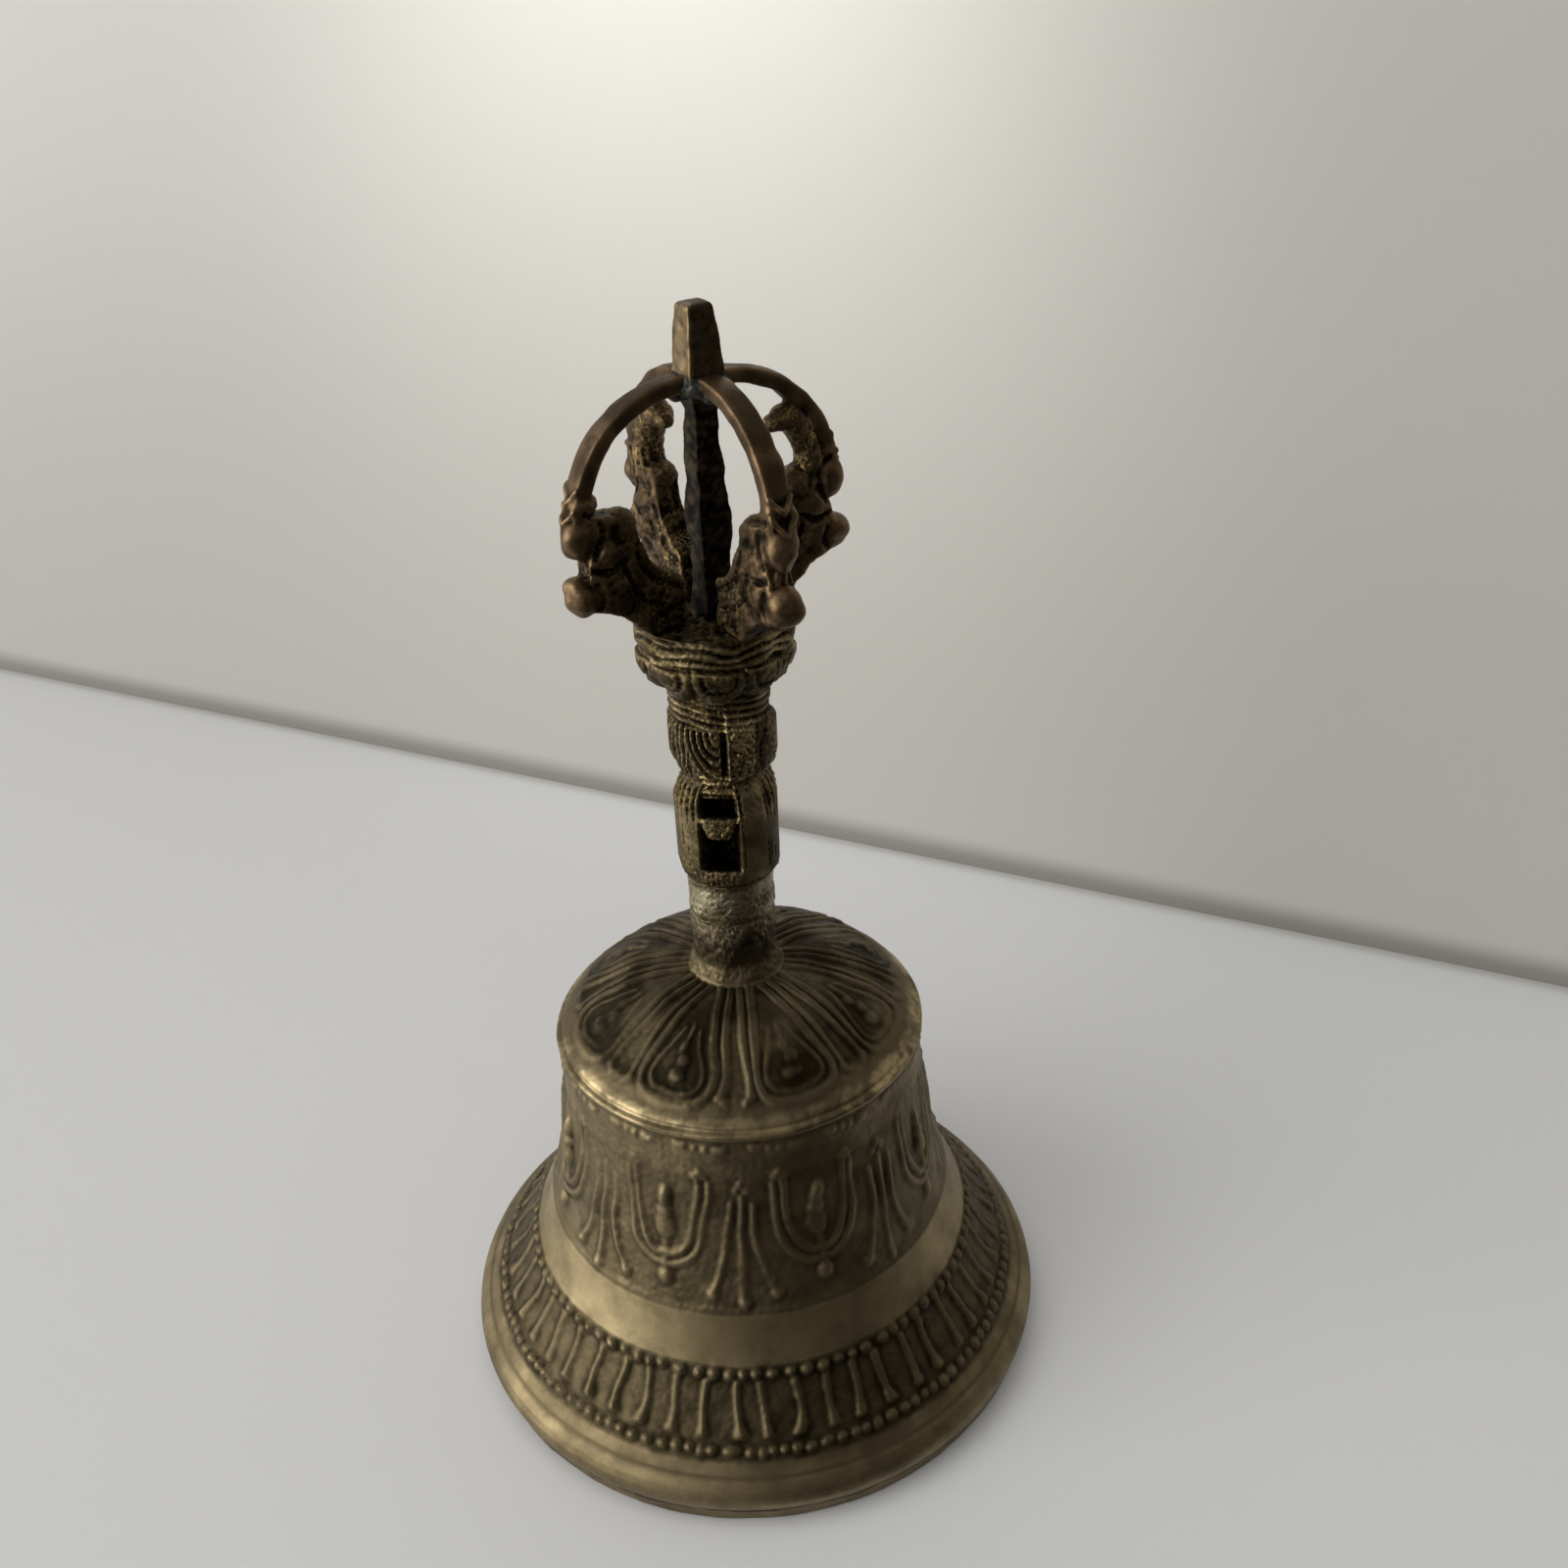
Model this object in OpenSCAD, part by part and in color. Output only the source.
// Tibetan hand bell: a cast bell on a brass half-vajra handle, with a hanging iron clapper.
// Origin at the centre of the mouth plane, +Z up the axis, millimetres.
// The four prongs stand on +X, +Y, -X and -Y, and the face on the handle looks between +X and -Y.

/* [Bell] */
// Widest diameter, at the belly of the lip band
mouth_d = 90; // [88:0.5:92]
// Height of the mouth's upright edge, under the lip band
edge_h = 2.9; // [2.6:0.1:3.2]
// Diameter that the flare runs out to, under the shoulder
drum_d = 51.2; // [50.4:0.2:52]
// Height over which the flare falls to about a third
flare_fall = 16.5; // [15.5:0.5:17.5]
// Height of the shoulder ridge
shoulder_z = 57.4; // [56.8:0.2:58]
// Height of the dome's top, where the neck begins
crown_z = 66.8; // [66.4:0.2:67.4]
// Wall thickness of the casting
wall = 3; // [2.6:0.1:3.2]

/* [Neck] */
// Diameter of the bare neck
neck_d = 11.8; // [11.4:0.2:12.2]
// Height where the solder collar begins
solder_z = 77; // [76.5:0.5:77.5]

/* [Handle] */
// Height of the handle's lower edge
grip_z = 83.6; // [83.2:0.2:84]
// Height of the joint between the grip and the lotus
lotus_z = 112; // [111.8:0.1:112.2]
// Height of the lotus's flat top
lotus_top_z = 122; // [121.6:0.2:122.4]
// Largest diameter of the lotus
lotus_d = 21; // [20.4:0.2:21.6]
// Angle of the face about the axis, counted from +X
face_turn = -38; // [-45:1:-30]

/* [Prongs] */
// Outer radius of the arc of a prong's strap arm
arm_r = 15.8; // [15.7:0.1:16]
// Height of the centre of that arc
arm_z = 137.2; // [137:0.1:137.4]
// Thickness of a prong's strap arm
arm_t = 2.2; // [1.8:0.2:2.6]
// Width of a prong's strap arm
arm_w = 3.4; // [3:0.2:3.6]
// Width of a prong's head
head_w = 4.8; // [4.4:0.2:5.2]

/* [Spike] */
// Height of the spike's tip above the mouth
total_h = 161; // [160:0.5:162]
// Side of the square spike just above the hub
spike_w = 5; // [4.8:0.1:5.1]
// Side of the spike's flat tip
tip_w = 3.5; // [3:0.1:3.7]

/* [Clapper] */
// Height of the centre of the hanging eye
eye_z = 57.5; // [57:0.1:57.8]
// Wire radius of the two eyes
eye_wire_r = 1.1; // [1:0.05:1.2]
// Wire radius of the ring link
link_wire_r = 0.9; // [0.8:0.05:0.95]
// Gap between the loops where they hang in each other
loop_gap = 0.2; // [0.15:0.05:0.25]
// Largest diameter of the striker
bob_d = 10.4; // [9.6:0.2:10.6]
// Height of the striker's lower end above the mouth
bob_z = 6.6; // [6:0.2:7.2]

/* [Hidden] */

$fn = 96;
eps = 0.01;

// colours
bronze = "#4a4434";
brass = "#6b5636";
solder = "#8d9094";
iron = "#4b4743";
spike_brass = "#5b4a35";

// bell
mouth_r = mouth_d / 2;
belly_z = 5;                         // height of the lip band's widest place
band_top_z = 7.8;                    // height where the lip band meets the flare
flare_z = 6.8;                       // height that the flare's fall is counted from
mouth_in_r = mouth_r - 4.2;          // inner edge of the flat mouth
flare_add = mouth_r - 0.6 - drum_d / 2;
bead_low_z = 10.8;
bead_high_z = 19.6;
bead_r = 0.85;
band_z = 27.6;                       // top edge of the smooth band
ridge_r = 0.7;
foot_r = 7.2;                        // where the dome meets the foot of the neck
foot_h = 2.2;                        // height of that rounded foot
inner_crown_z = crown_z - wall - 0.4;
spigot_r = 4.4;                      // part of the neck inside the collar and the handle
spigot_top_z = grip_z + 2.6;

// handle
tang_r = 2;
tang_top_z = 107;
waist_z = 99.4;
window_low = [86.8, 91.6];           // heights of the lower window
window_high = [94.6, 97.2];          // heights of the upper slot
window_w = 6;
cavity_r = 4.9;

// Radius and height of the handle's side: the ribbed grip, the waist, the head and three rings
grip_side = [
    [6.4, grip_z], [7, grip_z + 1.2], [7, 92], [7.1, 93], [6.6, 96.4], [6, 98.2], [5.5, waist_z],
    [6, waist_z + 1.2], [6.6, 103], [6.7, 107.4], [6.4, 108.4],
    [7, 109], [6.5, 109.6], [7, 110.2], [6.5, 110.8], [6.9, 111.4], [6.7, lotus_z]];

// Radius and height of the lotus's side: the bowl of petals and the carved rim
lotus_side = [
    [7, lotus_z], [8.8, 113.8], [9.2, 115], [9.9, 117], [9.5, 117.5],
    [lotus_d / 2, 119.4], [lotus_d / 2, 121.2], [lotus_d / 2 - 0.6, lotus_top_z]];

// Side and height of the square spike, from the lotus to the tip
spike_sides = [
    [4.6, lotus_top_z], [3.6, 126], [3.8, 131.4], [4.4, 135.4], [3.7, 139.4], [3.3, 148.4],
    [spike_w, 151], [tip_w, total_h]];

// prongs: the arm's arc is centred just outside the spike, so that its end meets the spike's side
arm_x = spike_w / 2 + 0.3;
hub_z = arm_z + arm_r - arm_t / 2;
trunk_t = 3.1;                       // mass that follows the inner side of the arm
trunk_end = 46;                      // degrees up the arc where it ends in a beak

// clapper: the loops hang in each other, eyes in the XZ plane and the link in the YZ plane
eye_in_r = 2.2;
eye_r = eye_in_r + eye_wire_r;
link_top_z = eye_z - eye_in_r + link_wire_r + loop_gap;
link_len = 8;
link_r = 2.6;
clapper_pivot_z = link_top_z - link_len + link_wire_r + eye_wire_r + loop_gap;
clapper_eye_z = clapper_pivot_z - eye_r;
shaft_r = 1.5;
bob_h = 12.4;

// Outer radius of the flare and drum at height z
function flare_r(z) = drum_d / 2 + flare_add * exp(-(z - flare_z) / flare_fall);

// Point of a quadratic curve from a to c, pulled towards b
function curve(a, b, c, t) = (1 - t) * (1 - t) * a + 2 * t * (1 - t) * b + t * t * c;

// Outer side of the bell's wall, from the mouth's edge to the rounded foot of the neck
outer_side = concat(
    [[mouth_r - 1.8, 0], [mouth_r - 1.3, 0.4], [mouth_r - 0.6, edge_h],
     [mouth_r - 0.05, belly_z - 0.7], [mouth_r, belly_z], [mouth_r - 0.15, belly_z + 0.9],
     [mouth_r - 0.6, belly_z + 1.9], [mouth_r - 1.3, band_top_z]],
    [for (i = [0:24]) let (z = band_top_z + 0.6 + i * (shoulder_z - 1.6 - band_top_z) / 24) [flare_r(z), z]],
    [for (i = [0:10]) curve([drum_d / 2, shoulder_z + 1], [15.8, crown_z + 0.2], [foot_r, crown_z], i / 10)],
    [[foot_r - 0.7, crown_z + 0.3], [foot_r - 0.9, crown_z + 1.2], [neck_d / 2, crown_z + foot_h]]);

// Inner side of the wall, from the crown down to the mouth
inner_side = concat(
    [for (i = [0:8]) curve([foot_r - 1, inner_crown_z], [14.5, inner_crown_z],
                           [drum_d / 2 - wall + 0.2, shoulder_z - 2], i / 8)],
    [for (i = [1:20]) let (z = shoulder_z - 2 - i * (shoulder_z - 2) / 20)
        [min(flare_r(z) - wall, mouth_in_r + z / 7), z]]);

// Round bar between two heights
module cylinder_between(r, z0, z1) {
    translate([0, 0, z0]) cylinder(r = r, h = z1 - z0);
}

// Turned ring of round section
module round_ring(ring_r, wire_r, z) {
    translate([0, 0, z]) rotate_extrude() translate([ring_r, 0]) circle(wire_r, $fn = 24);
}

module bell_body() color(bronze) {
    difference() {
        union() {
            rotate_extrude()
                polygon(concat(outer_side, [[0, crown_z + foot_h], [0, inner_crown_z]], inner_side));
            for (z = [bead_low_z, bead_high_z]) round_ring(flare_r(z), bead_r, z);
            for (z = [band_z, shoulder_z - 0.6]) round_ring(flare_r(z), ridge_r, z);
            cylinder_between(neck_d / 2, crown_z, solder_z);
            cylinder_between(spigot_r, crown_z, spigot_top_z);
        }
        translate([0, 0, inner_crown_z - 1]) cylinder(r = tang_r, h = spigot_top_z);
    }
}

module neck_solder() color(solder) {
    rotate_extrude() polygon([
        [spigot_r, solder_z], [neck_d / 2, solder_z], [neck_d / 2 + 0.25, solder_z + 1.2],
        [neck_d / 2 + 0.1, grip_z - 1], [neck_d / 2 + 0.3, grip_z], [spigot_r, grip_z]]);
}

module crown_tang() color(iron) {
    cylinder_between(tang_r, inner_crown_z, tang_top_z);
    cylinder_between(3.4, inner_crown_z - 1.8, inner_crown_z);
    cylinder_between(1.7, eye_z + eye_r, inner_crown_z - 1.8);
    loop(eye_r, eye_wire_r, eye_z);
}

// Round eye in the XZ plane
module loop(ring_r, wire_r, z) {
    translate([0, 0, z]) rotate([90, 0, 0]) rotate_extrude($fn = 48)
        translate([ring_r, 0]) circle(wire_r, $fn = 24);
}

module handle_grip() color(brass) rotate([0, 0, face_turn]) {
    difference() {
        union() {
            rotate_extrude() polygon(concat([[0, grip_z]], grip_side, [[0, lotus_z]]));
            // nose and chin side of the head
            translate([5.4, 0, 104]) scale([1, 1.3, 1.9]) sphere(r = 1.9, $fn = 32);
            // coil of hair at the back of the head
            translate([-5.4, 0, 104.4]) scale([1, 1.7, 2]) sphere(r = 2, $fn = 32);
        }
        translate([0, 0, grip_z - 1]) cylinder(r = spigot_r, h = spigot_top_z - grip_z + 1);
        translate([0, 0, spigot_top_z - eps]) cylinder(r = cavity_r, h = window_high[1] - spigot_top_z);
        translate([0, 0, grip_z]) cylinder(r = tang_r, h = tang_top_z - grip_z);
        for (span = [window_low, window_high])
            translate([-window_w / 2, -10, span[0]]) cube([window_w, 20, span[1] - span[0]]);
    }
}

module lotus_seat() color(brass) {
    difference() {
        rotate_extrude() polygon(concat([[0, lotus_z]], lotus_side, [[0, lotus_top_z]]));
        translate([0, 0, lotus_z - 1]) cylinder(r = tang_r, h = 12);
    }
}

// Part of a ring about the arm's centre, between two angles above the horizontal
module arc_band(r_out, r_in, from, to) {
    translate([arm_x, arm_z]) intersection() {
        difference() {
            circle(r_out);
            circle(r_in);
        }
        polygon([[0, 0], for (i = [0:4])
            let (a = from + i * (to - from) / 4) 1.3 * r_out * [cos(a), sin(a)]]);
    }
}

// Side view of a prong's animal head, with its neck on the lotus
module head_outline() {
    polygon([[4.2, lotus_top_z], [10.2, lotus_top_z], [11.6, 123.8], [14.6, 125.8], [17.8, 126.6],
             [18.2, 131], [17.4, 134], [18, 139], [12, 138.6], [10.2, 136.4], [9.2, 132.8], [7.8, 130.2],
             [4.6, 128.6]]);
    // brow, snout and forehead
    translate([17.8, 136.8]) circle(2.3, $fn = 32);
    translate([18, 128.8]) circle(2.4, $fn = 32);
    translate([12.2, 136.6]) circle(2.1, $fn = 32);
}

// Side view of the trunk that follows the arm and ends in a beak that points at the spike
module trunk_outline() {
    polygon([[13.6, 147.2], [9.4, 146], [8.2, 143.4], [10.6, 143.4], [13.2, 144]]);
    arc_band(arm_r - arm_t + eps, arm_r - arm_t - trunk_t, 4, trunk_end);
}

// One prong, standing on the +X side
module prong(trunk) color(brass) rotate([90, 0, 0]) {
    linear_extrude(arm_w, center = true) arc_band(arm_r, arm_r - arm_t, 4, 90);
    linear_extrude(head_w, center = true) {
        head_outline();
        if (trunk) trunk_outline();
    }
    // jowl
    translate([14.8, 129.4, 0]) scale([1.3, 1, 0.8]) sphere(r = 3, $fn = 32);
}

module prong_at(angle, trunk) rotate([0, 0, angle]) prong(trunk);

module prong_east() prong_at(0, true);
module prong_north() prong_at(90, true);
module prong_west() prong_at(180, false);
module prong_south() prong_at(270, false);

// Square bar between two heights, with a side at each end
module square_bar(w0, z0, w1, z1) {
    a = w0 / 2;
    b = w1 / 2;
    polyhedron(
        points = [[-a, -a, z0], [a, -a, z0], [a, a, z0], [-a, a, z0],
                  [-b, -b, z1], [b, -b, z1], [b, b, z1], [-b, b, z1]],
        faces = [[0, 1, 2, 3], [4, 7, 6, 5], [0, 4, 5, 1], [1, 5, 6, 2], [2, 6, 7, 3], [3, 7, 4, 0]]);
}

module central_spike() color(spike_brass) {
    cylinder_between(tang_r, lotus_top_z - 8, lotus_top_z);
    for (i = [0:len(spike_sides) - 2])
        square_bar(spike_sides[i][0], spike_sides[i][1], spike_sides[i + 1][0], spike_sides[i + 1][1]);
}

module hub_solder() color(solder) {
    translate([0, 0, hub_z - 0.4]) scale([1, 1, 0.5]) sphere(r = 4.4, $fn = 48);
}

// Long ring in the YZ plane
module clapper_link() color(iron) {
    straight = link_len - 2 * link_r;
    low_z = link_top_z - link_len + link_r;
    translate([0, 0, low_z]) rotate([90, 0, 90]) {
        for (end = [0, 1]) translate([0, end * straight, 0]) rotate([0, 0, end * 180 + 180])
            rotate_extrude(angle = 180, $fn = 48) translate([link_r, 0]) circle(link_wire_r, $fn = 24);
        for (side = [-1, 1]) translate([side * link_r, 0, 0]) rotate([-90, 0, 0])
            cylinder(r = link_wire_r, h = straight, $fn = 24);
    }
}

module clapper_shaft() color(iron) {
    loop(eye_r, eye_wire_r, clapper_eye_z);
    cylinder_between(shaft_r, bob_z + bob_h - 0.5, clapper_eye_z - eye_r);
    cylinder_between(shaft_r, bob_z + 0.8, bob_z + bob_h);
    // peened end under the striker
    cylinder_between(2.6, bob_z, bob_z + 0.8);
}

module clapper_bob() color(iron) difference() {
    rotate_extrude() polygon([
        [0, bob_z + 0.8], [3.4, bob_z + 0.8], [bob_d / 2, bob_z + 3.2], [bob_d / 2, bob_z + 6],
        [3.6, bob_z + 9.4], [2.9, bob_z + bob_h], [0, bob_z + bob_h]]);
    translate([0, 0, bob_z]) cylinder(r = shaft_r, h = bob_h + 1);
}

bell_body();
neck_solder();
crown_tang();
handle_grip();
lotus_seat();
prong_east();
prong_north();
prong_west();
prong_south();
central_spike();
hub_solder();
clapper_link();
clapper_shaft();
clapper_bob();
